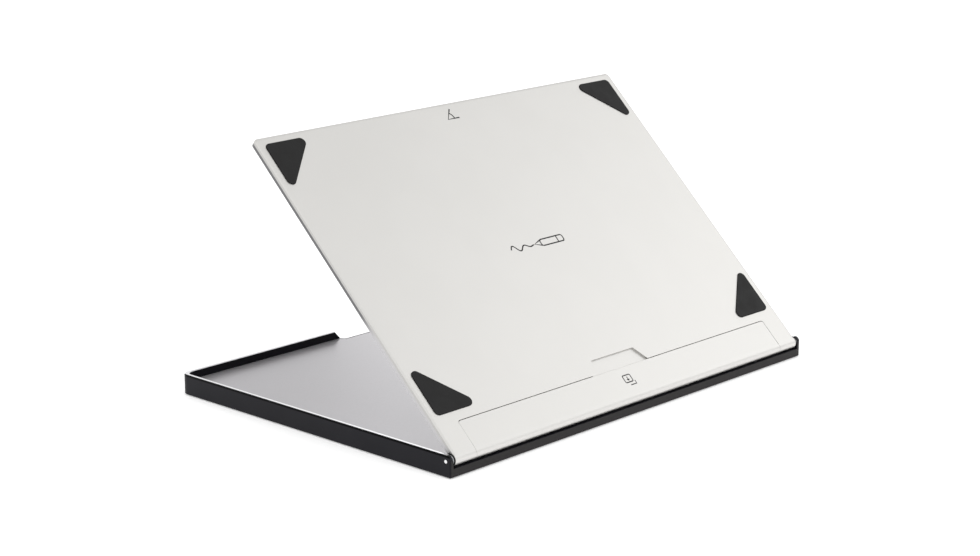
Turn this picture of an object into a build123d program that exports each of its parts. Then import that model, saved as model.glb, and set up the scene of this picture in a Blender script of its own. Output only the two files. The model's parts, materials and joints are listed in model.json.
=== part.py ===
"""Fold-flat stand for a pen drawing tablet, in millimetres.

A shallow black base tray carries a silver lid on one long hinge. The lid swings up out of the tray and
stays at any angle, held by friction bands round the hinge rod. A narrow ledge, let into the lid's lower
edge, turns out about the same rod and stops the tablet from sliding down.

Frame: the origin is the centre of the footprint, on the table. X runs along the hinge, Y from the hinge
to the far wall and Z upwards. The lid is modelled open, at lid_open_angle.
"""
from build123d import *
import os
from math import cos, radians, sin, sqrt

# -------------------------------------------------- driving dimensions
base_width = 340.0
base_depth = 241.0
tray_height = 13.25
foot_height = 0.5
lid_open_angle = 44.0

# tray
far_corner_radius = 6.5
front_corner_radius = 1.0
well_corner_radius = 5.5
side_wall = 2.6
far_wall = 2.6
rim_chamfer = 0.45
rim_inner_chamfer = 0.3
skirt_chamfer = 0.3
nose_chamfer = 0.25
web_thickness = 1.5
front_lip_height = 5.2
front_bar_depth = 11.5
cavity_side_inset = 9.0
cavity_far_inset = 9.0
cavity_corner_radius = 6.0
edge_tolerance = 0.01
cut_margin = 1.0

# deck panel
deck_top = 7.85
deck_thickness = 1.0
deck_gap = 0.2
deck_front_inset = 5.2

# finger scoop in the far wall
notch_top_half_width = 37.0
notch_slant = 5.0
scoop_depth = 6.2
scoop_floor = 4.6
scoop_corner_radius = 4.0
scoop_lip = 0.8

# bottom cover, ballast and feet
cover_thickness = 1.5
cover_inset = 3.0
cover_corner_radius = 4.0
cover_gap = 0.2
cover_rib_height = 0.9
cover_rib_width = 1.4
cover_rib_count = 4
cover_rib_end_gap = 2.8
ballast_thickness = 2.0
ballast_margin = 6.0
ballast_screw_inset = 7.8
foot_length = 44.0
foot_width = 11.0
foot_recess = 0.6
foot_inset = 20.0
foot_chamfer = 0.25

# hinge
axis_inset = 3.8
barrel_radius = 3.8
cove_clearance = 0.7
rod_radius = 1.5
rod_end_radius = 1.0
rod_end_flat = 0.25
rod_end_clearance = 0.02
running_clearance = 0.05
bore_radius = 2.4
bore_clearance = 0.05
washer_radius = 3.2
washer_thickness = 0.4
washer_gap = 0.14
cap_thickness = 0.5
cap_spigot = 3.0
band_slot = 1.0
band_tang_width = 1.0
band_tang_height = 0.45
sector_reach = 10.0
sector_chords = 3

# lid
lid_side_gap = 1.9
lid_end_gap = 1.0
skin_thickness = 1.8
liner_thickness = 2.8
lid_corner_radius = 3.0
lid_edge_chamfer = 0.35
lid_edge_bevel = 1.5
lid_screw_side_inset = 5.7
lid_screw_end_inset = 6.0
liner_inset = 0.3
liner_chamfer = 0.5
liner_floor = 1.2
liner_clearance = 0.35
core_margin_side = 17.0
core_margin_end = 12.0
core_gap = 0.05

# ledge
ledge_length = 20.2
ledge_side_margin = 17.7
ledge_gap = 0.3
ledge_side_gap = 0.15
ledge_corner_radius = 2.0
ledge_edge_chamfer = 0.2
ledge_open_angle = 90.0
bush_length = 24.0
stop_arc = 100.0
stop_length = 2.5
stop_clearance_arc = 10.0
stop_angle = 40.0

# finger recess above the ledge
recess_low_half_width = 26.7
recess_top_half_width = 20.1
recess_height = 10.1
recess_depth = 1.2
recess_corner_radius = 1.2

# rubber pads on the lid
pad_leg = 36.0
pad_corner_radius = 3.4
pad_side_inset = 5.4
pad_end_inset = 5.1
pad_low_edge = 26.7
pad_height = 0.6
pad_recess = 0.3
pad_gap = 0.1
pad_edge = 0.25

# small parts
bumper_radius = 3.0
bumper_height = 0.4
bumper_recess = 0.5
bumper_side_inset = 11.5
bumper_end_inset = 6.0
magnet_size = (6.0, 3.0, 1.0)
magnet_place = (60.0, 14.8)
catch_size = (9.0, 4.4, 0.6)
grip_length = 72.0
grip_width = 5.0
grip_thickness = 0.5
grip_corner_radius = 1.0
grip_place = (105.0, 8.2)
pocket_gap = 0.1

# countersunk screws: shank radius, head radius, length
lid_screw = (1.0, 1.9, 3.5)
cover_screw = (1.25, 2.3, 4.2)
ballast_screw = (1.5, 2.6, 3.0)
drive_radius = 0.5
screw_clearance = 0.05
countersink_taper = 45

# screws along and across each group
lid_screw_grid = (6, 5)
cover_screw_grid = (4, 4)
ballast_screw_grid = (3, 2)

# -------------------------------------------------- levels and places
tray_bottom = foot_height
rim = tray_bottom + tray_height
deck_level = tray_bottom + deck_top
deck_seat = deck_level - deck_thickness
web_bottom = deck_seat - web_thickness
front = -base_depth / 2
back = base_depth / 2
well_half_width = base_width / 2 - side_wall
well_back = back - far_wall

axis_y = front + axis_inset
axis_z = rim - barrel_radius
cove_radius = barrel_radius + cove_clearance
deck_front = axis_y + deck_front_inset
cavity_front = front + front_bar_depth
cavity_back = back - cavity_far_inset
cavity_half_width = base_width / 2 - cavity_side_inset
scoop_front = back - scoop_depth
notch_low_half_width = notch_top_half_width - notch_slant
cover_level = tray_bottom + cover_thickness

lid_half_width = well_half_width - lid_side_gap
lid_length = well_back - lid_end_gap - axis_y
skin_under = barrel_radius - skin_thickness
lid_under = skin_under - liner_thickness
liner_front_radius = barrel_radius + liner_clearance
ledge_half_width = lid_half_width - ledge_side_margin - ledge_side_gap / 2
ear_start = ledge_half_width + ledge_side_gap
ledge_end = ledge_length - ledge_gap
ledge_rest = skin_under - ledge_gap
core_half_width = lid_half_width - core_margin_side
core_front = ledge_length + core_margin_end
core_back = lid_length - core_margin_end
core_floor = lid_under + liner_floor
band_length = lid_half_width - cap_spigot - ear_start - stop_length
sleeve_inner = rod_radius + running_clearance
sleeve_outer = bore_radius - bore_clearance
bush_angle = stop_angle + stop_arc + stop_clearance_arc
bush_arc = 360 - stop_arc - ledge_open_angle - 2 * stop_clearance_arc

# -------------------------------------------------- planes
up_lid = Vector(0, cos(radians(lid_open_angle)), sin(radians(lid_open_angle)))
lid_normal = Vector(0, -sin(radians(lid_open_angle)), cos(radians(lid_open_angle)))
hinge_point = Vector(0, axis_y, axis_z)
# local x along the hinge, y up the lid, z out of its face
lid_plane = Plane(origin=hinge_point, x_dir=(1, 0, 0), z_dir=lid_normal)
# local x up the lid, y out of its face, z along the hinge
lid_side = Plane(origin=hinge_point, x_dir=up_lid, z_dir=(1, 0, 0))
# local x towards the far wall, y upwards, z along the hinge
base_side = Plane(origin=hinge_point, x_dir=(0, 1, 0), z_dir=(1, 0, 0))

os.makedirs("parts", exist_ok=True)


def save(part, name):
    """Label a finished piece and write it to its own file."""
    part.label = name
    export_step(part, f"parts/{name}.step")


def rectangle(low_x, high_x, low_y, high_y, radius=0.0):
    """Sketch a rectangle by its sides, with rounded corners if a radius is given."""
    with Locations(((low_x + high_x) / 2, (low_y + high_y) / 2)):
        if radius > 0:
            RectangleRounded(high_x - low_x, high_y - low_y, radius)
        else:
            Rectangle(high_x - low_x, high_y - low_y)


def countersunk_group(plane, points, size):
    """Countersunk screws driven along the plane's normal, heads flush with the plane."""
    shank_radius, head_radius, length = size
    head_depth = head_radius - shank_radius
    with BuildPart() as screws:
        with BuildSketch(plane):
            with Locations(*points):
                Circle(shank_radius)
        extrude(amount=length)
        with BuildSketch(plane):
            with Locations(*points):
                Circle(head_radius)
        extrude(amount=head_depth, taper=countersink_taper)
        with BuildSketch(plane):
            with Locations(*points):
                RegularPolygon(drive_radius, 6)
        extrude(amount=head_depth, mode=Mode.SUBTRACT)
    return screws.part


def countersunk_holes(plane, points, size):
    """Matching holes, cut into the part whose block is open."""
    shank_radius, head_radius, length = size
    head_depth = head_radius - shank_radius
    with BuildSketch(plane) as shanks:
        with Locations(*points):
            Circle(shank_radius + screw_clearance)
    extrude(shanks.sketch, amount=length + screw_clearance, mode=Mode.SUBTRACT)
    with BuildSketch(plane) as heads:
        with Locations(*points):
            Circle(head_radius + screw_clearance)
    extrude(heads.sketch, amount=head_depth + screw_clearance, taper=countersink_taper, mode=Mode.SUBTRACT)


def scoop_outline(offset):
    """Plan of the finger scoop, grown by an offset, open past the far wall."""
    half = notch_low_half_width + offset
    rectangle(-half, half, scoop_front - offset, back + scoop_depth, scoop_corner_radius + offset)


def sleeve(start, end, from_angle=0.0, arc=360.0):
    """A sleeve, or a sector of one, between the hinge rod and a hinge bore, added to the open block."""
    with BuildSketch(lid_side.offset(start)) as ring:
        Circle(sleeve_outer)
        Circle(sleeve_inner, mode=Mode.SUBTRACT)
        if arc < 360:
            rays = [radians(from_angle + arc * chord / sector_chords) for chord in range(sector_chords + 1)]
            arc_points = [(sector_reach * cos(ray), sector_reach * sin(ray)) for ray in rays]
            with BuildLine():
                Polyline((0, 0), *arc_points, close=True)
            make_face(mode=Mode.INTERSECT)
    extrude(ring.sketch, amount=end - start)


def rod_end_outline(radius):
    """A round with one flat, which keeps the rod from turning in the tray."""
    Circle(radius)
    with Locations((0, -radius)):
        Rectangle(2 * radius, 2 * rod_end_flat, mode=Mode.SUBTRACT)


def nose_cutter(start, inwards):
    """What comes off one edge of a side wall's round nose to break it, from start and inwards, 1 or -1."""
    with BuildPart() as cutter:
        with BuildSketch(base_side.offset(start)):
            rectangle(-axis_inset - cut_margin, 0, 0, tray_height)
        extrude(amount=inwards * nose_chamfer)
        with BuildSketch(base_side.offset(start)):
            Circle(axis_inset - nose_chamfer)
        extrude(amount=inwards * nose_chamfer, taper=-45, mode=Mode.SUBTRACT)
    return cutter.part


def pad_outline(side, low, gap=0.0):
    """A right triangle with rounded corners, its square corner towards the lid's own corner."""
    corner_x = side * (lid_half_width - pad_side_inset + gap)
    corner_y = pad_low_edge - gap if low else lid_length - pad_end_inset + gap
    corner = (corner_x, corner_y)
    leg = pad_leg + gap * (2 + sqrt(2))
    rise = leg if low else -leg
    with BuildLine() as triangle:
        Polyline(corner, (corner_x - side * leg, corner_y), (corner_x, corner_y + rise), close=True)
    make_face(triangle.edges())


def ring_of(half_x, low_y, high_y, grid):
    """Evenly spaced points round a rectangle, corners included."""
    count_x, count_y = grid
    span = high_y - low_y
    along = [-half_x + 2 * half_x * i / (count_x - 1) for i in range(count_x)]
    inner = [low_y + span * i / (count_y - 1) for i in range(1, count_y - 1)]
    rows = [(x, y) for x in along for y in (low_y, high_y)]
    sides = [(x, y) for x in (-half_x, half_x) for y in inner]
    return rows + sides


# -------------------------------------------------- base tray
cover_half_width = base_width / 2 - cover_inset
cover_front = front + cover_inset
cover_back = back - cover_inset
cover_screw_half = (cover_half_width + cavity_half_width) / 2
cover_row_low = (cover_front + cavity_front) / 2
cover_row_high = (cover_back + cavity_back) / 2
cover_points = ring_of(cover_screw_half, cover_row_low, cover_row_high, cover_screw_grid)
ballast_half_width = cavity_half_width - ballast_margin
ballast_front = cavity_front + ballast_margin
ballast_back = cavity_back - ballast_margin
ballast_level = web_bottom - ballast_thickness
ballast_column = ballast_half_width - ballast_screw_inset
ballast_row_low = ballast_front + ballast_screw_inset
ballast_row_high = ballast_back - ballast_screw_inset
ballast_points = ring_of(ballast_column, ballast_row_low, ballast_row_high, ballast_screw_grid)

nose_faces = [(-base_width / 2, 1), (-well_half_width, -1), (well_half_width, 1), (base_width / 2, -1)]
nose_cutters = [nose_cutter(start, inwards) for start, inwards in nose_faces]

with BuildPart() as base_tray:
    with BuildSketch(Plane.XY.offset(tray_bottom)) as footprint:
        Rectangle(base_width, base_depth)
        fillet(footprint.vertices().group_by(Axis.Y)[0], radius=front_corner_radius)
        fillet(footprint.vertices().group_by(Axis.Y)[-1], radius=far_corner_radius)
    extrude(amount=tray_height)
    chamfer(base_tray.faces().sort_by(Axis.Z)[-1].edges(), length=rim_chamfer)
    chamfer(base_tray.faces().sort_by(Axis.Z)[0].edges(), length=skirt_chamfer)
    # the well that the lid folds into, down to the deck's level
    with BuildSketch(Plane.XY.offset(deck_level)):
        rectangle(-well_half_width, well_half_width, axis_y - cove_radius, well_back, well_corner_radius)
    extrude(amount=rim - deck_level, mode=Mode.SUBTRACT)
    rim_edges = base_tray.faces().filter_by(Plane.XY).sort_by(Axis.Z)[-1].edges()
    rim_edges = rim_edges.filter_by(lambda e: abs(e.center().X) <= well_half_width + edge_tolerance)
    well_edges = rim_edges.filter_by(lambda e: e.center().Y <= well_back + edge_tolerance)
    chamfer(well_edges, length=rim_inner_chamfer)
    # the deck's seat, leaving a lip along the finger scoop
    with BuildSketch(Plane.XY.offset(deck_seat)):
        rectangle(-well_half_width, well_half_width, axis_y, well_back, well_corner_radius)
        with BuildSketch(mode=Mode.SUBTRACT):
            scoop_outline(scoop_lip)
    extrude(amount=deck_thickness, mode=Mode.SUBTRACT)
    # finger notch in the far wall, with slanted ends, and the scoop behind the deck
    with BuildSketch(Plane.XZ.offset(-back - scoop_depth)):
        with BuildLine():
            Polyline(
                (-notch_top_half_width, rim),
                (-notch_low_half_width, deck_level),
                (notch_low_half_width, deck_level),
                (notch_top_half_width, rim),
                close=True,
            )
        make_face()
    extrude(amount=2 * scoop_depth - scoop_lip, mode=Mode.SUBTRACT)
    with BuildSketch(Plane.XY.offset(tray_bottom + scoop_floor)):
        scoop_outline(0)
    extrude(amount=rim, mode=Mode.SUBTRACT)
    # the low front wall, its cove round the barrel, and the side walls' round noses
    with BuildSketch(base_side.offset(-well_half_width)):
        Circle(cove_radius)
        rectangle(-axis_inset - cut_margin, 0, tray_bottom + front_lip_height - axis_z, tray_height)
    extrude(amount=2 * well_half_width, mode=Mode.SUBTRACT)
    with BuildSketch(base_side.offset(-base_width / 2)):
        rectangle(-axis_inset - cut_margin, 0, 0, tray_height)
        Circle(axis_inset, mode=Mode.SUBTRACT)
    extrude(amount=base_width, mode=Mode.SUBTRACT)
    # broken edges round the noses, which show as thin lines beside the hinge
    for cutter in nose_cutters:
        add(cutter, mode=Mode.SUBTRACT)
    # holes for the rod's ends
    with BuildSketch(base_side.offset(-base_width / 2)):
        rod_end_outline(rod_end_radius + rod_end_clearance)
    extrude(amount=base_width, mode=Mode.SUBTRACT)
    # underside: recess for the cover, then the cavity for the ballast
    with BuildSketch(Plane.XY.offset(tray_bottom)):
        rectangle(-cover_half_width, cover_half_width, cover_front, cover_back, cover_corner_radius)
    extrude(amount=cover_thickness, mode=Mode.SUBTRACT)
    with BuildSketch(Plane.XY.offset(cover_level)):
        rectangle(-cavity_half_width, cavity_half_width, cavity_front, cavity_back, cavity_corner_radius)
    extrude(amount=web_bottom - cover_level, mode=Mode.SUBTRACT)
    countersunk_holes(Plane.XY.offset(tray_bottom), cover_points, cover_screw)
    countersunk_holes(Plane.XY.offset(ballast_level), ballast_points, ballast_screw)
save(base_tray.part, "base_tray")

# -------------------------------------------------- deck panel
with BuildPart() as deck_panel:
    with BuildSketch(Plane.XY.offset(deck_seat)):
        half = well_half_width - deck_gap
        rectangle(-half, half, deck_front, well_back - deck_gap, well_corner_radius)
        with BuildSketch(mode=Mode.SUBTRACT):
            scoop_outline(scoop_lip + deck_gap)
    extrude(amount=deck_thickness)
save(deck_panel.part, "deck_panel")

# -------------------------------------------------- ballast, bottom cover, feet and their screws
with BuildPart() as ballast_plate:
    with BuildSketch(Plane.XY.offset(ballast_level)):
        rectangle(-ballast_half_width, ballast_half_width, ballast_front, ballast_back, cavity_corner_radius)
    extrude(amount=ballast_thickness)
    countersunk_holes(Plane.XY.offset(ballast_level), ballast_points, ballast_screw)
save(ballast_plate.part, "ballast_plate")
save(countersunk_group(Plane.XY.offset(ballast_level), ballast_points, ballast_screw), "ballast_screws")

foot_places = {
    "foot_front_left": (-1, -1),
    "foot_front_right": (1, -1),
    "foot_rear_left": (-1, 1),
    "foot_rear_right": (1, 1),
}
foot_x = base_width / 2 - foot_inset - foot_length / 2
foot_y = base_depth / 2 - foot_inset
rib_half_width = cavity_half_width - cover_rib_end_gap
rib_pitch = (cavity_back - cavity_front) / (cover_rib_count + 1)
rib_rows = [cavity_front + rib_pitch * i for i in range(1, cover_rib_count + 1)]
with BuildPart() as bottom_cover:
    with BuildSketch(Plane.XY.offset(tray_bottom)):
        rectangle(
            cover_gap - cover_half_width,
            cover_half_width - cover_gap,
            cover_front + cover_gap,
            cover_back - cover_gap,
            cover_corner_radius - cover_gap,
        )
    extrude(amount=cover_thickness)
    with BuildSketch(Plane.XY.offset(cover_level)):
        for row in rib_rows:
            rectangle(-rib_half_width, rib_half_width, row - cover_rib_width / 2, row + cover_rib_width / 2)
    extrude(amount=cover_rib_height)
    with BuildSketch(Plane.XY.offset(tray_bottom)):
        for side_x, side_y in foot_places.values():
            with Locations((side_x * foot_x, side_y * foot_y)):
                RectangleRounded(foot_length + pocket_gap, foot_width + pocket_gap, foot_width / 2)
    extrude(amount=foot_recess, mode=Mode.SUBTRACT)
    countersunk_holes(Plane.XY.offset(tray_bottom), cover_points, cover_screw)
save(bottom_cover.part, "bottom_cover")
save(countersunk_group(Plane.XY.offset(tray_bottom), cover_points, cover_screw), "cover_screws")

for name, (side_x, side_y) in foot_places.items():
    with BuildPart() as foot:
        with BuildSketch(Plane.XY):
            with Locations((side_x * foot_x, side_y * foot_y)):
                RectangleRounded(foot_length, foot_width, foot_width / 2 - pocket_gap)
        extrude(amount=foot_height + foot_recess)
        chamfer(foot.faces().sort_by(Axis.Z)[0].edges(), length=foot_chamfer)
    save(foot.part, name)

# -------------------------------------------------- hinge rod and washers
with BuildPart() as hinge_rod:
    with BuildSketch(base_side.offset(-well_half_width)):
        Circle(rod_radius)
    extrude(amount=2 * well_half_width)
    with BuildSketch(base_side.offset(-base_width / 2)):
        rod_end_outline(rod_end_radius)
    extrude(amount=base_width)
save(hinge_rod.part, "hinge_rod")

for name, side in {"washers_left": -1, "washers_right": 1}.items():
    with BuildPart() as washers:
        for place in range(2):
            outer_face = well_half_width - washer_gap - place * (washer_thickness + washer_gap)
            with BuildSketch(base_side.offset(side * outer_face)):
                Circle(washer_radius)
                Circle(sleeve_inner, mode=Mode.SUBTRACT)
            extrude(amount=-side * washer_thickness)
    save(washers.part, name)

# -------------------------------------------------- lid: silver plate
lid_row_low = ledge_length + lid_screw_end_inset
lid_row_high = lid_length - lid_screw_end_inset
lid_column = lid_half_width - lid_screw_side_inset
lid_points = ring_of(lid_column, lid_row_low, lid_row_high, lid_screw_grid)
# clear of the finger recess
lid_points = [(x, y) for x, y in lid_points if abs(x) > recess_low_half_width or y > lid_row_low]

with BuildPart() as lid_plate:
    with BuildSketch(lid_plane.offset(skin_under)) as outline:
        rectangle(-lid_half_width, lid_half_width, 0, lid_length)
        fillet(outline.vertices().group_by(Axis.Y)[-1], radius=lid_corner_radius)
    extrude(amount=skin_thickness)
    face = lid_plate.faces().sort_by(Axis(hinge_point, lid_normal))[-1]
    border = face.edges().sort_by(Axis(hinge_point, up_lid))[1:]
    chamfer(border, length=lid_edge_bevel, length2=lid_edge_chamfer, reference=face)
    # rolled ears at both ends of the nose
    for side in (-1, 1):
        with BuildSketch(lid_side.offset(side * ear_start)):
            Circle(barrel_radius)
        extrude(amount=side * (lid_half_width - ear_start))
    # the opening for the ledge
    with BuildSketch(lid_plane.offset(-barrel_radius)) as opening:
        rectangle(-ear_start, ear_start, -2 * barrel_radius, ledge_length)
        fillet(opening.vertices().group_by(Axis.Y)[-1], radius=ledge_corner_radius)
    extrude(amount=3 * barrel_radius, mode=Mode.SUBTRACT)
    with BuildSketch(lid_side.offset(-lid_half_width)):
        Circle(bore_radius)
    extrude(amount=2 * lid_half_width, mode=Mode.SUBTRACT)
    # keyways for the friction bands' tangs
    with BuildSketch(lid_side.offset(-lid_half_width)):
        rectangle(-band_tang_width / 2, band_tang_width / 2, 0, bore_radius + band_tang_height)
    extrude(amount=2 * lid_half_width, mode=Mode.SUBTRACT)
    # finger recess above the ledge
    with BuildSketch(lid_plane.offset(barrel_radius - recess_depth)) as recess:
        with BuildLine():
            Polyline(
                (-recess_low_half_width, ledge_length - ledge_gap),
                (recess_low_half_width, ledge_length - ledge_gap),
                (recess_top_half_width, ledge_length + recess_height),
                (-recess_top_half_width, ledge_length + recess_height),
                close=True,
            )
        make_face()
        fillet(recess.vertices().group_by(Axis.Y)[-1], radius=recess_corner_radius)
    extrude(amount=2 * recess_depth, mode=Mode.SUBTRACT)
    # seats for the rubber pads
    for side in (-1, 1):
        for low in (True, False):
            with BuildSketch(lid_plane.offset(barrel_radius - pad_recess)) as seat:
                pad_outline(side, low, pad_gap)
                fillet(seat.vertices(), radius=pad_corner_radius + pad_gap)
            extrude(amount=pad_recess, mode=Mode.SUBTRACT)
    countersunk_holes(lid_plane.offset(lid_under), lid_points, lid_screw)
save(lid_plate.part, "lid_plate")

# -------------------------------------------------- lid: liner, core board and screws
bumper_x = lid_half_width - bumper_side_inset
bumper_rows = (core_front + bumper_end_inset, core_back - bumper_end_inset)
bumper_places = [(side * bumper_x, row) for side in (-1, 1) for row in bumper_rows]
magnet_x, magnet_y = magnet_place
grip_x, grip_y = grip_place

with BuildPart() as lid_liner:
    with BuildSketch(lid_plane.offset(lid_under)) as outline:
        half = lid_half_width - liner_inset
        rectangle(-half, half, barrel_radius / 2, lid_length - liner_inset)
        fillet(outline.vertices().group_by(Axis.Y)[-1], radius=lid_corner_radius - liner_inset)
    extrude(amount=liner_thickness)
    under_edges = lid_liner.faces().sort_by(Axis(hinge_point, lid_normal))[0].edges()
    chamfer(under_edges.sort_by(Axis(hinge_point, up_lid))[1:], length=liner_chamfer)
    with BuildSketch(lid_side.offset(-lid_half_width)):
        Circle(liner_front_radius)
    extrude(amount=2 * lid_half_width, mode=Mode.SUBTRACT)
    # rest for the ledge
    with BuildSketch(lid_plane.offset(ledge_rest)):
        rectangle(-ear_start, ear_start, 0, ledge_length)
    extrude(amount=skin_thickness, mode=Mode.SUBTRACT)
    # pocket for the core board
    with BuildSketch(lid_plane.offset(core_floor)):
        rectangle(-core_half_width, core_half_width, core_front, core_back)
    extrude(amount=liner_thickness, mode=Mode.SUBTRACT)
    # pockets for the ledge's magnets
    with BuildSketch(lid_plane.offset(ledge_rest - magnet_size[2])):
        with Locations((-magnet_x, magnet_y), (magnet_x, magnet_y)):
            Rectangle(magnet_size[0] + pocket_gap, magnet_size[1] + pocket_gap)
    extrude(amount=liner_thickness, mode=Mode.SUBTRACT)
    # seats for the bumpers
    with BuildSketch(lid_plane.offset(lid_under)):
        with Locations(*bumper_places):
            Circle(bumper_radius + pocket_gap / 2)
    extrude(amount=bumper_recess, mode=Mode.SUBTRACT)
    countersunk_holes(lid_plane.offset(lid_under), lid_points, lid_screw)
save(lid_liner.part, "lid_liner")

with BuildPart() as lid_core:
    with BuildSketch(lid_plane.offset(core_floor + core_gap)):
        half = core_half_width - pocket_gap
        rectangle(-half, half, core_front + pocket_gap, core_back - pocket_gap)
    extrude(amount=liner_thickness - liner_floor - 2 * core_gap)
save(lid_core.part, "lid_core_board")

save(countersunk_group(lid_plane.offset(lid_under), lid_points, lid_screw), "lid_screws")

with BuildPart() as lid_bumpers:
    with BuildSketch(lid_plane.offset(lid_under - bumper_height)):
        with Locations(*bumper_places):
            Circle(bumper_radius)
    extrude(amount=bumper_height + bumper_recess)
save(lid_bumpers.part, "lid_bumpers")

with BuildPart() as ledge_magnets:
    with BuildSketch(lid_plane.offset(ledge_rest - magnet_size[2])):
        with Locations((-magnet_x, magnet_y), (magnet_x, magnet_y)):
            Rectangle(magnet_size[0], magnet_size[1])
    extrude(amount=magnet_size[2])
save(ledge_magnets.part, "ledge_magnets")

# -------------------------------------------------- lid: rubber pads
pad_corners = {
    "pad_low_left": (-1, True),
    "pad_low_right": (1, True),
    "pad_top_left": (-1, False),
    "pad_top_right": (1, False),
}
for name, (side, low) in pad_corners.items():
    with BuildPart() as pad:
        with BuildSketch(lid_plane.offset(barrel_radius - pad_recess)) as shape:
            pad_outline(side, low)
            fillet(shape.vertices(), radius=pad_corner_radius)
        extrude(amount=pad_recess + pad_height)
        fillet(pad.faces().sort_by(Axis(hinge_point, lid_normal))[-1].edges(), radius=pad_edge)
    save(pad.part, name)

# -------------------------------------------------- hinge: friction bands, end caps and ledge stops
dog_start = ear_start - stop_length
band_start = ear_start + stop_length
tang_half_width = band_tang_width / 2 - bore_clearance
tang_tip = bore_radius + band_tang_height - bore_clearance
for name, side in {"left": -1, "right": 1}.items():
    with BuildPart() as band:
        with BuildSketch(lid_side.offset(side * band_start)):
            Circle(sleeve_outer)
            rectangle(-tang_half_width, tang_half_width, rod_radius, tang_tip)
            Circle(sleeve_inner, mode=Mode.SUBTRACT)
            with Locations((0, -bore_radius)):
                Rectangle(band_slot, bore_radius, mode=Mode.SUBTRACT)
        extrude(amount=side * band_length)
    save(band.part, f"friction_band_{name}")

    with BuildPart() as cap:
        with BuildSketch(lid_side.offset(side * lid_half_width)):
            Circle(barrel_radius)
            Circle(sleeve_inner, mode=Mode.SUBTRACT)
        extrude(amount=side * cap_thickness)
        sleeve(side * lid_half_width, side * (lid_half_width - cap_spigot))
    save(cap.part, f"hinge_cap_{name}")

    # a collar in the lid's ear, whose dog reaches into the ledge and ends its swing
    with BuildPart() as stop:
        sleeve(side * ear_start, side * band_start)
        sleeve(side * dog_start, side * ear_start, stop_angle, stop_arc)
    save(stop.part, f"ledge_stop_{name}")

# -------------------------------------------------- ledge
with BuildPart() as ledge_flap:
    with BuildSketch(lid_plane.offset(skin_under)) as outline:
        rectangle(-ledge_half_width, ledge_half_width, 0, ledge_end)
        fillet(outline.vertices().group_by(Axis.Y)[-1], radius=ledge_corner_radius)
    extrude(amount=skin_thickness)
    face_edges = ledge_flap.faces().sort_by(Axis(hinge_point, lid_normal))[-1].edges()
    chamfer(face_edges.sort_by(Axis(hinge_point, up_lid))[1:], length=ledge_edge_chamfer)
    with BuildSketch(lid_side.offset(-ledge_half_width)):
        Circle(barrel_radius)
    extrude(amount=2 * ledge_half_width)
    with BuildSketch(lid_side.offset(-ledge_half_width)):
        Circle(bore_radius)
    extrude(amount=2 * ledge_half_width, mode=Mode.SUBTRACT)
    # pockets for the catch plates and the grip strips
    with BuildSketch(lid_plane.offset(skin_under)):
        with Locations((-magnet_x, magnet_y), (magnet_x, magnet_y)):
            Rectangle(catch_size[0] + pocket_gap, catch_size[1] + pocket_gap)
    extrude(amount=catch_size[2], mode=Mode.SUBTRACT)
    with BuildSketch(lid_plane.offset(skin_under)):
        with Locations((-grip_x, grip_y), (grip_x, grip_y)):
            Rectangle(grip_length + pocket_gap, grip_width + pocket_gap)
    extrude(amount=grip_thickness, mode=Mode.SUBTRACT)
save(ledge_flap.part, "ledge_flap")

with BuildPart() as ledge_catches:
    with BuildSketch(lid_plane.offset(skin_under)):
        with Locations((-magnet_x, magnet_y), (magnet_x, magnet_y)):
            Rectangle(catch_size[0], catch_size[1])
    extrude(amount=catch_size[2])
save(ledge_catches.part, "ledge_catch_plates")

with BuildPart() as ledge_grips:
    with BuildSketch(lid_plane.offset(skin_under)):
        with Locations((-grip_x, grip_y), (grip_x, grip_y)):
            RectangleRounded(grip_length, grip_width, grip_corner_radius)
    extrude(amount=grip_thickness)
save(ledge_grips.part, "ledge_grip_strips")

bush_face = dog_start - ledge_gap
for name, side in {"left": -1, "right": 1}.items():
    with BuildPart() as bush:
        sleeve(side * (bush_face - bush_length), side * bush_face)
        sleeve(side * bush_face, side * ledge_half_width, bush_angle, bush_arc)
    save(bush.part, f"ledge_bush_{name}")

with BuildPart() as middle_bush:
    sleeve(-bush_length / 2, bush_length / 2)
save(middle_bush.part, "ledge_bush_middle")
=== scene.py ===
"""Looks of a fold-flat stand for a pen drawing tablet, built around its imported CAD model. Metres."""
import json
from math import cos, pi, radians, sin

import bmesh
import bpy
from mathutils import Matrix, Vector


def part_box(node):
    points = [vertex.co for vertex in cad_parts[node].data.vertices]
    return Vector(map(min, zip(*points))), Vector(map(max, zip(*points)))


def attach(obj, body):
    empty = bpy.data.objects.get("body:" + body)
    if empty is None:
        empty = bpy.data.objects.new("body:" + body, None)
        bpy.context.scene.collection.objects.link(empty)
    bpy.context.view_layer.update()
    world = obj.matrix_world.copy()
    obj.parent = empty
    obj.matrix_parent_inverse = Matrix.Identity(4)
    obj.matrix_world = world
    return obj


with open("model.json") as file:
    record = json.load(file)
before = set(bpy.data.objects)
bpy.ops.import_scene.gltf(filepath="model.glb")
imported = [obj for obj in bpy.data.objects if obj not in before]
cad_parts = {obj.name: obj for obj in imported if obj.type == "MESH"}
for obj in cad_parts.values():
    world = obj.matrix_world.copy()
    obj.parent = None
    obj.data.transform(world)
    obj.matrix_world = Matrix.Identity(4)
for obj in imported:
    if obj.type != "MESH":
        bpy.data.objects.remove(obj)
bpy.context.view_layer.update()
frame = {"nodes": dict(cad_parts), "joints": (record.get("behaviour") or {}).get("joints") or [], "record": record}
MM = 0.001
nodes = frame["nodes"]

# ---------------------------------------------------------------- where things are, read from the frame
lid_joint = next(joint for joint in frame["joints"] if joint["name"] == "lid_hinge")
HINGE = Vector(lid_joint["pos_m"])
LID_ANGLE = -radians(lid_joint["range_deg"][0])
UP_LID = Vector((0, cos(LID_ANGLE), sin(LID_ANGLE)))
LID_NORMAL = Vector((0, -sin(LID_ANGLE), cos(LID_ANGLE)))
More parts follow.
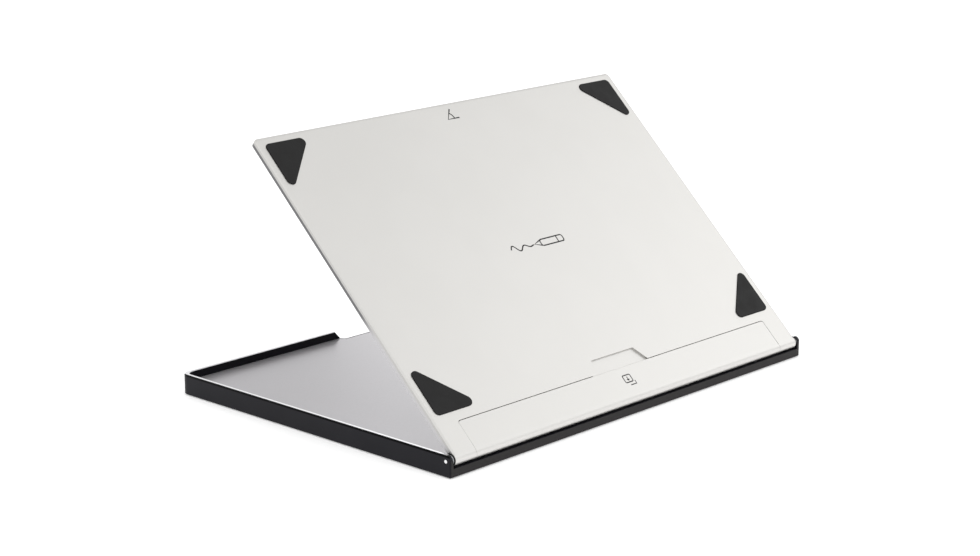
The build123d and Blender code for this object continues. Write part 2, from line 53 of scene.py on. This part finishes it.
# takes points drawn on the lid, x along the hinge, y up the lid and z out of its face, into the row frame
LID_TO_ROW = Matrix.Translation(HINGE) @ Matrix.Rotation(LID_ANGLE, 4, "X")


def on_lid(point):
    """Where a point of the row frame is in the lid's own directions."""
    away = Vector(point) - HINGE
    return Vector((away.x, away.dot(UP_LID), away.dot(LID_NORMAL)))


def lid_extent(node):
    """(low, high) corners of a node in the lid's own directions."""
    corners = [on_lid(vertex.co) for vertex in nodes[node].data.vertices]
    low = Vector([min(corner[i] for corner in corners) for i in range(3)])
    high = Vector([max(corner[i] for corner in corners) for i in range(3)])
    return low, high


tray_low, tray_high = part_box("base_tray")
rod_low, rod_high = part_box("hinge_rod")
plate_low, plate_high = lid_extent("lid_plate")
liner_high = lid_extent("lid_liner")[1]
ledge_high = lid_extent("ledge_flap")[1]
LID_FACE = plate_high.z

# ---------------------------------------------------------------- camera, lights and floor
VIEW_AZIMUTH = radians(-46.92)
VIEW_ELEVATION = radians(14.62)
VIEW_DISTANCE = 1.493
VIEW_AIM = Vector((-0.0081, -0.0001, 0.0672))
VIEW_LENS = 84.33
SURROUND_LIGHT = 1.0
FLOOR_RADIUS = 6.0
FLOOR_DROP = 0.1 * MM
FLOOR_GLOW = 0.3
LIGHTS_AIM = (0, 0, 0.05)
# each softbox's place, size and power
SOFTBOXES = {
    "key_light": ((-0.6, -1.2, 2.6), (1.8, 1.8), 8),
    "side_light": ((2.12, -0.92, 1.27), (1.5, 1.5), 6.8),
    "deck_light": ((2.3, 1.8, 0.85), (1.05, 0.9), 3.2),
    "back_light": ((-1.0, 2.4, 1.6), (2.0, 1.2), 5),
}


def look_at(obj, place, aim):
    """Put a camera or a light somewhere and turn it towards a point."""
    obj.location = place
    obj.rotation_euler = (Vector(aim) - Vector(place)).to_track_quat("-Z", "Y").to_euler()


def make_camera():
    """A long lens, in front of the hinge's left end and a little above the stand."""
    data = bpy.data.cameras.new("view")
    data.lens = VIEW_LENS
    data.clip_start = 0.05
    camera = bpy.data.objects.new("view", data)
    bpy.context.scene.collection.objects.link(camera)
    away = Vector((
        sin(VIEW_AZIMUTH) * cos(VIEW_ELEVATION),
        -cos(VIEW_AZIMUTH) * cos(VIEW_ELEVATION),
        sin(VIEW_ELEVATION),
    ))
    look_at(camera, VIEW_AIM + away * VIEW_DISTANCE, VIEW_AIM)
    bpy.context.scene.camera = camera


def make_softbox(name, place, size, power):
    """A rectangular area light that faces the stand."""
    data = bpy.data.lights.new(name, "AREA")
    data.shape = "RECTANGLE"
    data.size, data.size_y = size
    data.energy = power
    light = bpy.data.objects.new(name, data)
    bpy.context.scene.collection.objects.link(light)
    look_at(light, place, LIGHTS_AIM)


def make_surround():
    """Even white light from all round."""
    world = bpy.data.worlds.new("studio")
    bpy.context.scene.world = world
    world.use_nodes = True
    background = world.node_tree.nodes["Background"]
    background.inputs["Color"].default_value = (1.0, 1.0, 1.0, 1.0)
    background.inputs["Strength"].default_value = SURROUND_LIGHT


def make_floor():
    """A pale disc, a hair below the feet, which is clear from below."""
    bm = bmesh.new()
    bmesh.ops.create_circle(bm, cap_ends=True, segments=96, radius=FLOOR_RADIUS)
    mesh = bpy.data.meshes.new("floor")
    bm.to_mesh(mesh)
    bm.free()
    floor = bpy.data.objects.new("floor", mesh)
    bpy.context.scene.collection.objects.link(floor)
    lit_white = {"Base Color": (0.9, 0.9, 0.9, 1), "Roughness": 0.9}
    lit_white |= {"Emission Color": (1, 1, 1, 1), "Emission Strength": FLOOR_GLOW}
    floor.data.materials.append(one_sided(finish("floor_pale", lit_white)))
    floor.location.z = -FLOOR_DROP


def make_studio():
    """The surround, the floor and the softboxes, with colours shown as they are."""
    make_surround()
    make_floor()
    for name, (place, size, power) in SOFTBOXES.items():
        make_softbox(name, place, size, power)
    bpy.context.scene.view_settings.view_transform = "Standard"


# ---------------------------------------------------------------- shader maths as expressions
class Wire:
    """A socket in a material, with arithmetic that adds Math nodes."""

    def __init__(self, tree, socket):
        self.tree = tree
        self.socket = socket

    def node(self, kind, settings=None, **values):
        """Add a node with these settings, and values for its sockets, by name or by number as i0, i1."""
        made = self.tree.nodes.new(kind)
        for key, value in (settings or {}).items():
            setattr(made, key, value)
        for key, value in values.items():
            by_number = key[0] == "i" and key[1:].isdigit()
            self.feed(made.inputs[int(key[1:]) if by_number else key], value)
        return made

    def feed(self, socket, value):
        """Set a socket to a value, or link it to the wire that carries one."""
        if isinstance(value, Wire):
            self.tree.links.new(value.socket, socket)
        else:
            socket.default_value = value

    def out(self, kind, output=0, settings=None, **values):
        """Add a node and hold one of its outputs."""
        return Wire(self.tree, self.node(kind, settings, **values).outputs[output])

    def math(self, operation, *values):
        """Add a Math node that works on these values."""
        sockets = {f"i{number}": value for number, value in enumerate(values)}
        return self.out("ShaderNodeMath", settings={"operation": operation}, **sockets)

    def __add__(self, other):
        return self.math("ADD", self, other)

    def __sub__(self, other):
        return self.math("SUBTRACT", self, other)

    def __rsub__(self, other):
        return self.math("SUBTRACT", other, self)

    def __mul__(self, other):
        return self.math("MULTIPLY", self, other)

    def __gt__(self, other):
        return self.math("GREATER_THAN", self, other)

    def __lt__(self, other):
        return self.math("LESS_THAN", self, other)

    __radd__ = __add__
    __rmul__ = __mul__

    def axis(self, which):
        """One of the three numbers of a place: 0, 1 or 2."""
        return self.out("ShaderNodeSeparateXYZ", which, i0=self)

    def unsigned(self):
        """This number without its sign."""
        return self.math("ABSOLUTE", self)

    def larger(self, other):
        """The larger of this and another number."""
        return self.math("MAXIMUM", self, other)

    def root(self):
        """The square root of this number."""
        return self.math("SQRT", self)

    def wave(self, pitch):
        """Ridges from 0 to 1, pitch apart, along a length."""
        return self.math("SINE", self * (2 * pi / pitch)) * 0.5 + 0.5

    def smooth(self, low, high, from_value=0.0, to_value=1.0):
        """A soft step from one value to another as this goes from low to high."""
        return self.out(
            "ShaderNodeMapRange", settings={"interpolation_type": "SMOOTHSTEP"},
            i0=self, i1=low, i2=high, i3=from_value, i4=to_value,
        )

    def mix(self, low, high):
        """A colour between two, by this as the share."""
        made = self.node("ShaderNodeMix", {"data_type": "RGBA"}, i0=self)
        low_socket, high_socket = [socket for socket in made.inputs if socket.type == "RGBA"]
        self.feed(low_socket, low)
        self.feed(high_socket, high)
        return Wire(self.tree, [socket for socket in made.outputs if socket.type == "RGBA"][0])


def finish(name, constants, paint=None):
    """A Principled material. Constants are set on its sockets; paint(place) gives what varies, by socket."""
    material = bpy.data.materials.new(name)
    material.use_nodes = True
    shader = material.node_tree.nodes["Principled BSDF"]
    for key, value in constants.items():
        shader.inputs[key].default_value = value
    if paint:
        start = Wire(material.node_tree, None)
        place = start.out("ShaderNodeTexCoord", "Object")
        for key, wire in paint(place).items():
            material.node_tree.links.new(wire.socket, shader.inputs[key])
    return material


def one_sided(material):
    """Make a material clear from behind, so that the floor doesn't hide the underside."""
    tree = material.node_tree
    shader = Wire(tree, tree.nodes["Principled BSDF"].outputs["BSDF"])
    behind = shader.out("ShaderNodeNewGeometry", "Backfacing")
    clear = shader.out("ShaderNodeBsdfTransparent")
    mixed = shader.out("ShaderNodeMixShader", i0=behind, i1=shader, i2=clear)
    tree.links.new(mixed.socket, tree.nodes["Material Output"].inputs["Surface"])
    return material


def noise(place, size, detail=2.0, roughness=0.5):
    """Cloudy noise whose features are about size metres across."""
    return place.out("ShaderNodeTexNoise", settings={"noise_dimensions": "3D"}, Vector=place,
                     Scale=1 / size, Detail=detail, Roughness=roughness)


def cell_shade(place, size):
    """A grey of its own for each cell of a crystal-like pattern, with cells about size metres across."""
    cell = place.out("ShaderNodeTexVoronoi", 1, Vector=place, Scale=1 / size)
    return cell.out("ShaderNodeSeparateColor", 0, i0=cell)


def stretched(place, scale):
    """A place with each of its directions scaled, for a grain that runs one way."""
    return place.out("ShaderNodeMapping", Vector=place, Scale=scale)


def bump(height, strength, distance):
    """The normal of a surface with this relief."""
    return height.out("ShaderNodeBump", Height=height, Strength=strength, Distance=distance)


def across_lid(place):
    """How far a place is up the lid from the hinge's axis."""
    return (place.axis(1) - HINGE.y) * UP_LID.y + (place.axis(2) - HINGE.z) * UP_LID.z


def from_hinge(place):
    """How far a place is from the hinge's axis."""
    across = place.axis(1) - HINGE.y
    height = place.axis(2) - HINGE.z
    return (across * across + height * height).root()


# ---------------------------------------------------------------- finishes
# how far inside a piece's outermost plane a point still counts as on that face
ON_FACE = 0.05 * MM
# where the lid's face turns into its nose, up the lid from the hinge's axis, and where the nose's painted light
# fades in
NOSE_TURN = (-3 * MM, 0.5 * MM)


def silver_anodised():
    """Aluminium, fine blasted and clear anodised: a tight grit, duller cut sides, and the nose painted lighter as
    painted light.
    """
    def paint(place):
        grit = noise(place, 0.7 * MM, detail=4.0, roughness=0.65)
        cloud = noise(place, 45 * MM)
        side = place.axis(0).unsigned() > plate_high.x - ON_FACE
        # painted light: the nose's colour is made lighter than the face's, standing in for light that it catches
        painted_nose_light = across_lid(place).smooth(*NOSE_TURN, 1.0, 0.0)
        face = cloud.smooth(0.3, 0.7).mix((0.605, 0.597, 0.579, 1), (0.615, 0.607, 0.589, 1))
        face = painted_nose_light.mix(face, (0.68, 0.67, 0.65, 1))
        return {
            "Base Color": side.mix(face, (0.50, 0.494, 0.478, 1)),
            "Roughness": 0.41 + cloud * 0.02 + grit * 0.06,
            "Normal": bump(grit, 0.18, 0.08 * MM),
        }
    return finish("silver_anodised", {"Metallic": 1.0}, paint)


# how far below the rim its painted highlight on the inner edge and its painted shade on the outer edge reach
RIM_HIGHLIGHT_DEPTH = 0.36 * MM
RIM_SHADE_DEPTH = 1.3 * MM
# how far past the hinge's axis the rim's painted highlight runs
RIM_HIGHLIGHT_PAST_HINGE = 0.4 * MM
# a point this deep in the side and far walls is inside the tray's outer faces
WALL_SKIN = 1 * MM


def tray_black():
    """Black anodised aluminium, satin, with painted light: the rim's top and inner edge painted bright as a
    reflection of the white surround, its outer edge painted deep black as shade, and its front face painted
    lighter.
    """
    def paint(place):
        x, y, z = (place.axis(which) for which in range(3))
        inside = (x.unsigned() < tray_high.x - WALL_SKIN) * (y < tray_high.y - WALL_SKIN)
        top = z > tray_high.z - ON_FACE
        inner_edge = (z > tray_high.z - RIM_HIGHLIGHT_DEPTH) * inside
        # painted reflection: the rim's top face and inner edge are painted bright silver, standing in for the
        # white surround reflected in the satin black
        bright = top.larger(inner_edge) * (y > HINGE.y - RIM_HIGHLIGHT_PAST_HINGE)
        # painted shade: the rim's outer edge is painted deep black and metallic, standing in for the dark that it
        # shows
        painted_shade_edge = (z > tray_high.z - RIM_SHADE_DEPTH) * (1 - inside) * (1 - top)
        grain = noise(place, 0.9 * MM, detail=3.0)
        cloud = noise(place, 30 * MM)
        black = cloud.smooth(0.3, 0.7).mix((0.0036, 0.0034, 0.0062, 1), (0.0052, 0.0050, 0.0080, 1))
        # painted light: the front face is painted lighter and warmer than the other walls, as light from the front
        # right falls on it
        black = (y < tray_low.y + ON_FACE).mix(black, (0.016, 0.0145, 0.0148, 1))
        black = painted_shade_edge.mix(black, (0.002, 0.002, 0.0025, 1))
        return {
            "Base Color": bright.mix(black, (0.80, 0.80, 0.815, 1)),
            "Metallic": bright + painted_shade_edge,
            "Roughness": bright.smooth(0, 1, 0.4, 0.3) + grain * 0.08,
            "Normal": bump(grain, 0.12, 0.06 * MM),
        }
    return finish("tray_black", {"Specular IOR Level": 0.17}, paint)


def deck_grey():
    """Satin lilac-grey laminate on the deck panel, with a fine metallic flake."""
    def paint(place):
        flake = cell_shade(place, 0.8 * MM)
        cloud = noise(place, 60 * MM)
        tint = (flake * 0.6 + cloud * 0.4).smooth(0.2, 0.8)
        return {
            "Base Color": tint.mix((0.405, 0.395, 0.411, 1), (0.435, 0.424, 0.441, 1)),
            "Roughness": 0.28 + flake * 0.05 + cloud * 0.02,
            "Normal": bump(noise(place, 0.6 * MM), 0.06, 0.05 * MM),
        }
    return finish("deck_grey", {"Metallic": 0.5}, paint)


def moulded(name, dark, light, grain_size, roughness, relief, recolour=None):
    """Moulded plastic with a sparked texture: fine pits between slightly worn, smoother peaks."""
    def paint(place):
        spark = noise(place, grain_size, detail=5.0, roughness=0.6)
        cloud = noise(place, 40 * MM)
        colour = (spark * 0.7 + cloud * 0.3).smooth(0.3, 0.7).mix(dark, light)
        return {
            "Base Color": recolour(place, colour) if recolour else colour,
            "Roughness": spark.smooth(0.35, 0.7, roughness + 0.06, roughness - 0.05),
            "Normal": bump(spark, 0.35, relief),
        }
    return finish(name, {"Specular IOR Level": 0.4}, paint)


# where the painted reflection on the liner's sides goes from pale to dark, up the lid from the hinge's axis
LINER_SIDE_REFLECTION_FADE = (85 * MM, 105 * MM)


def liner_grey():
    """Grey moulding, whose narrow sides carry a painted reflection: pale towards the hinge and darker than the
    moulding further up.
    """
    def painted_side_reflection(place, colour):
        side = place.axis(0).unsigned() > liner_high.x - ON_FACE
        # painted reflection: the sides are painted pale near the hinge, where they would reflect the lit deck, and
        # darker than the moulding further up
        pale = across_lid(place).smooth(*LINER_SIDE_REFLECTION_FADE, 1.0, 0.0)
        edge = pale.mix((0.14, 0.14, 0.144, 1), (0.52, 0.51, 0.52, 1))
        return side.mix(colour, edge)
    return moulded(
        "liner_grey", (0.17, 0.17, 0.175, 1), (0.21, 0.21, 0.215, 1),
        grain_size=1.1 * MM, roughness=0.5, relief=0.1 * MM, recolour=painted_side_reflection,
    )


def cover_black():
    """Black moulding with a coarse texture, on the underside."""
    return moulded(
        "cover_black", (0.014, 0.014, 0.016, 1), (0.024, 0.024, 0.027, 1),
        grain_size=1.4 * MM, roughness=0.56, relief=0.14 * MM,
    )


def cap_black():
    """Black moulding with a fine, nearly glossy texture, on the hinge's ends."""
    return moulded(
        "cap_black", (0.008, 0.008, 0.009, 1), (0.014, 0.014, 0.015, 1),
        grain_size=0.5 * MM, roughness=0.36, relief=0.03 * MM,
    )


def rubber_black():
    """Soft matt rubber: a fine pebble, dusted lighter on its peaks."""
    def paint(place):
        pebble = place.out("ShaderNodeTexVoronoi", Vector=place, Scale=1 / (0.7 * MM))
        dust = noise(place, 9 * MM, detail=3.0)
        share = (pebble * 0.4 + dust * 0.6).smooth(0.25, 0.75)
        return {
            "Base Color": share.mix((0.0052, 0.0052, 0.0055, 1), (0.0088, 0.0084, 0.0082, 1)),
            "Roughness": dust.smooth(0.3, 0.7, 0.52, 0.62),
            "Normal": bump(pebble, 0.22, 0.06 * MM),
        }
    return finish("rubber_black", {"Specular IOR Level": 0.2}, paint)


def turned_steel():
    """Ground and turned steel, with rings about the hinge's axis."""
    def paint(place):
        rings = from_hinge(place).wave(pitch=0.16 * MM)
        smear = noise(place, 2 * MM, detail=3.0)
        return {
            "Base Color": smear.smooth(0.3, 0.7).mix((0.80, 0.80, 0.81, 1), (0.90, 0.90, 0.90, 1)),
            "Roughness": 0.2 + smear * 0.12,
            "Normal": bump(rings, 0.2, 0.02 * MM),
        }
    return finish("steel_bright", {"Metallic": 1.0}, paint)


def zinc_steel():
    """Zinc-plated sheet: pale spangle, faintly blue."""
    def paint(place):
        spangle = cell_shade(place, 6 * MM)
        smear = noise(place, 4 * MM, detail=4.0)
        return {
            "Base Color": (spangle * 0.5 + smear * 0.5).mix((0.50, 0.51, 0.53, 1), (0.68, 0.69, 0.70, 1)),
            "Roughness": 0.3 + smear * 0.2,
            "Normal": bump(smear, 0.1, 0.05 * MM),
        }
    return finish("steel", {"Metallic": 1.0}, paint)


def screw_black():
    """Black zinc on small screws, rubbed bright where the driver has been."""
    def paint(place):
        rub = noise(place, 1.2 * MM, detail=4.0)
        return {
            "Base Color": rub.smooth(0.45, 0.7).mix((0.075, 0.075, 0.08, 1), (0.25, 0.25, 0.255, 1)),
            "Roughness": rub.smooth(0.3, 0.7, 0.42, 0.26),
            "Normal": bump(rub, 0.15, 0.03 * MM),
        }
    return finish("screw_black", {"Metallic": 0.85}, paint)


def nickel():
    """Nickel plate on the magnets, a little warm."""
    def paint(place):
        haze = noise(place, 1.5 * MM, detail=3.0)
        return {
            "Base Color": haze.mix((0.66, 0.64, 0.60, 1), (0.80, 0.78, 0.74, 1)),
            "Roughness": 0.14 + haze * 0.14,
        }
    return finish("magnet_nickel", {"Metallic": 1.0}, paint)


def acetal():
    """White acetal, drawn through a die: faint lines along the hinge."""
    def paint(place):
        drawn = noise(stretched(place, (0.02, 1.0, 1.0)), 0.5 * MM)
        return {
            "Base Color": drawn.mix((0.80, 0.80, 0.77, 1), (0.88, 0.88, 0.86, 1)),
            "Roughness": 0.34 + drawn * 0.12,
            "Normal": bump(drawn, 0.15, 0.03 * MM),
        }
    return finish("bush_white", {}, paint)


def fibre_board():
    """Pale pressed board with short fibres."""
    def paint(place):
        fibre = noise(stretched(place, (1.0, 0.25, 0.25)), 0.8 * MM, detail=5.0)
        return {
            "Base Color": fibre.smooth(0.3, 0.7).mix((0.58, 0.55, 0.49, 1), (0.74, 0.72, 0.66, 1)),
            "Roughness": 0.8 + fibre * 0.1,
            "Normal": bump(fibre, 0.3, 0.1 * MM),
        }
    return finish("core_board", {"Specular IOR Level": 0.3}, paint)


def print_grey():
    """Screen-printed ink, a little uneven in cover."""
    def paint(place):
        cover = noise(place, 0.4 * MM, detail=3.0)
        return {
            "Base Color": cover.smooth(0.3, 0.75).mix((0.018, 0.018, 0.018, 1), (0.035, 0.034, 0.033, 1)),
            "Roughness": 0.5 + cover * 0.15,
            "Normal": bump(cover, 0.1, 0.02 * MM),
        }
    return finish("print_grey", {"Specular IOR Level": 0.25}, paint)


def finish_carried_nodes():
    """Give every CAD node the finish of its own material slot."""
    makers = {
        "silver_anodised": silver_anodised,
        "tray_black": tray_black,
        "deck_grey": deck_grey,
        "liner_grey": liner_grey,
        "cover_black": cover_black,
        "cap_black": cap_black,
        "rubber_black": rubber_black,
        "steel_bright": turned_steel,
        "steel": zinc_steel,
        "screw_black": screw_black,
        "magnet_nickel": nickel,
        "bush_white": acetal,
        "core_board": fibre_board,
    }
    finishes = {slot: maker() for slot, maker in makers.items()}
    for subpart in frame["record"]["subparts"]:
        for slot in nodes[subpart["node"]].material_slots:
            slot.material = finishes[subpart["material_slot"]]
    return finishes


# ---------------------------------------------------------------- new pieces
def add_piece(name, bm, body, material):
    """Turn a finished bmesh into a piece that rides on a body."""
    mesh = bpy.data.meshes.new(name)
    bm.to_mesh(mesh)
    bm.free()
    mesh.materials.append(material)
    piece = bpy.data.objects.new(name, mesh)
    bpy.context.scene.collection.objects.link(piece)
    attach(piece, body)
    return piece


def arc(centre, radius, start, end, steps):
    """Points along an arc, both ends included."""
    angles = [start + (end - start) * step / steps for step in range(steps + 1)]
    return [(centre[0] + radius * cos(angle), centre[1] + radius * sin(angle)) for angle in angles]


def rounded_rectangle(low, high, radius, steps=5):
    """Outline points of a rectangle with round corners, each corner a quarter arc."""
    corners = [(high[0], high[1]), (low[0], high[1]), (low[0], low[1]), (high[0], low[1])]
    points = []
    for turn, (x, y) in enumerate(corners):
        centre = (x - radius if x == high[0] else x + radius, y - radius if y == high[1] else y + radius)
        points += arc(centre, radius, turn * pi / 2, (turn + 1) * pi / 2, steps)
    return points


INK_HEIGHT = 0.03 * MM


def drawn_lines(strokes, width):
    """A bmesh of printed lines in the lid's plane. Each stroke is (points, closed), in millimetres."""
    drawing = bpy.data.curves.new("drawing", "CURVE")
    drawing.dimensions = "3D"
    drawing.bevel_depth = width / 2 * MM
    drawing.bevel_resolution = 2
    drawing.use_fill_caps = True
    for points, closed in strokes:
        line = drawing.splines.new("POLY")
        line.points.add(len(points) - 1)
        for point, (x, y) in zip(line.points, points):
            point.co = (x * MM, y * MM, 0, 1)
        line.use_cyclic_u = closed
    holder = bpy.data.objects.new("drawing", drawing)
    mesh = bpy.data.meshes.new_from_object(holder)
    bm = bmesh.new()
    bm.from_mesh(mesh)
    bpy.data.objects.remove(holder)
    bpy.data.curves.remove(drawing)
    bpy.data.meshes.remove(mesh)
    bmesh.ops.scale(bm, vec=(1, 1, INK_HEIGHT / (width / 2 * MM)), verts=bm.verts)
    return bm


def print_on_lid(name, strokes, width, up_lid, body, ink):
    """Printed lines, this many millimetres wide, a hair proud of the lid and up_lid from the hinge's axis."""
    bm = drawn_lines(strokes, width)
    place = LID_TO_ROW @ Matrix.Translation((0, up_lid, LID_FACE))
    bmesh.ops.transform(bm, matrix=place, verts=bm.verts)
    add_piece(name, bm, body, ink)


# the drawn line of the centre mark, in millimetres and radians: a wave that dies away towards the pen
WAVE_START = -25
WAVE_STEPS = 30
WAVE_STEP = 0.7
WAVE_HEIGHT = 3.0
WAVE_TURN = 0.42
WAVE_FADE_STEPS = 34
MARK_RAISE = 3 * MM


def pen_line():
    """Points of the line that the pen of the centre mark has drawn."""
    points = []
    for step in range(WAVE_STEPS + 1):
        height = WAVE_HEIGHT * (1 - step / WAVE_FADE_STEPS)
        points.append((WAVE_START + step * WAVE_STEP, height * sin(step * WAVE_TURN)))
    return points


def make_centre_mark(ink):
    """A generic mark in the middle of the lid: a pen at the end of the line that it draws."""
    barrel = rounded_rectangle((2.8, -2.4), (24, 2.4), 1.6)
    nib = [(3.0, -2.0), (-3.2, 0), (3.0, 2.0)]
    collar = [(18.5, -2.4), (18.5, 2.4)]
    strokes = [(pen_line(), False), (barrel, True), (nib, False), (collar, False)]
    up_lid = (plate_low.y + plate_high.y) / 2 + MARK_RAISE
    print_on_lid("centre_mark", strokes, 0.95, up_lid, "lid", ink)


ANGLE_SIGN_INSET = 12.4 * MM


def make_angle_sign(ink):
    """A sign for the opening angle near the lid's free edge: two arms and the arc between them."""
    arms = [(5.2, 0), (-5.2, 0), (1.2, 7.6)]
    sweep = arc((-5.2, 0), 6.0, 0, radians(50), 8)
    strokes = [(arms, False), (sweep, False)]
    print_on_lid("angle_sign", strokes, 1.0, plate_high.y - ANGLE_SIGN_INSET, "lid", ink)


LEDGE_SIGN_INSET = 13.3 * MM


def make_ledge_sign(ink):
    """A sign on the ledge: a tablet coming down on a hook."""
    tablet = rounded_rectangle((-4.2, 2.2), (2.8, 7.4), 0.9)
    hook = [(-1.2, 0), (4.2, 0), (4.2, 2.4)]
    arrow = [(-0.7, 6.2), (-0.7, 3.4)]
    barbs = [(-1.7, 4.4), (-0.7, 3.4), (0.3, 4.4)]
    strokes = [(tablet, True), (hook, False), (arrow, False), (barbs, False)]
    print_on_lid("ledge_sign", strokes, 0.75, ledge_high.y - LEDGE_SIGN_INSET, "ledge", ink)


ROD_END_RADIUS = 1.12 * MM
ROD_END_CROWN = 0.28 * MM


def dome_profile(bm, end, outwards):
    """Half the outline of a shallow dome on the rod's end, from its foot to its crown."""
    foot = bm.verts.new((end - outwards * ROD_END_CROWN, 0, ROD_END_RADIUS))
    bow = [
        bm.verts.new((end + outwards * ROD_END_CROWN * rise / ROD_END_RADIUS, 0, radius))
        for radius, rise in arc((0, 0), ROD_END_RADIUS, 0, pi / 2, 8)
    ]
    edges = [bm.edges.new(pair) for pair in zip([foot] + bow[:-1], bow)]
    return bow + [foot] + edges


def make_rod_end(side, end, steel):
    """One end of the rod, riveted over, just proud of the tray's side wall."""
    bm = bmesh.new()
    profile = dome_profile(bm, end, outwards=-1 if end < 0 else 1)
    turn = {"cent": (0, 0, 0), "axis": (1, 0, 0), "angle": 2 * pi, "steps": 40}
    bmesh.ops.spin(bm, geom=profile, use_merge=True, **turn)
    bmesh.ops.remove_doubles(bm, verts=bm.verts, dist=1e-7)
    bmesh.ops.holes_fill(bm, edges=bm.edges, sides=0)
    bmesh.ops.recalc_face_normals(bm, faces=bm.faces)
    bmesh.ops.translate(bm, vec=(0, HINGE.y, HINGE.z), verts=bm.verts)
    for face in bm.faces:
        # the dome's small faces are smooth, and the flat disc at its foot isn't
        face.smooth = len(face.verts) < 5
    add_piece(f"rod_end_{side}", bm, "base", steel)


make_camera()
make_studio()
finishes = finish_carried_nodes()
ink = print_grey()
make_centre_mark(ink)
make_angle_sign(ink)
make_ledge_sign(ink)
make_rod_end("left", rod_low.x, finishes["steel_bright"])
make_rod_end("right", rod_high.x, finishes["steel_bright"])
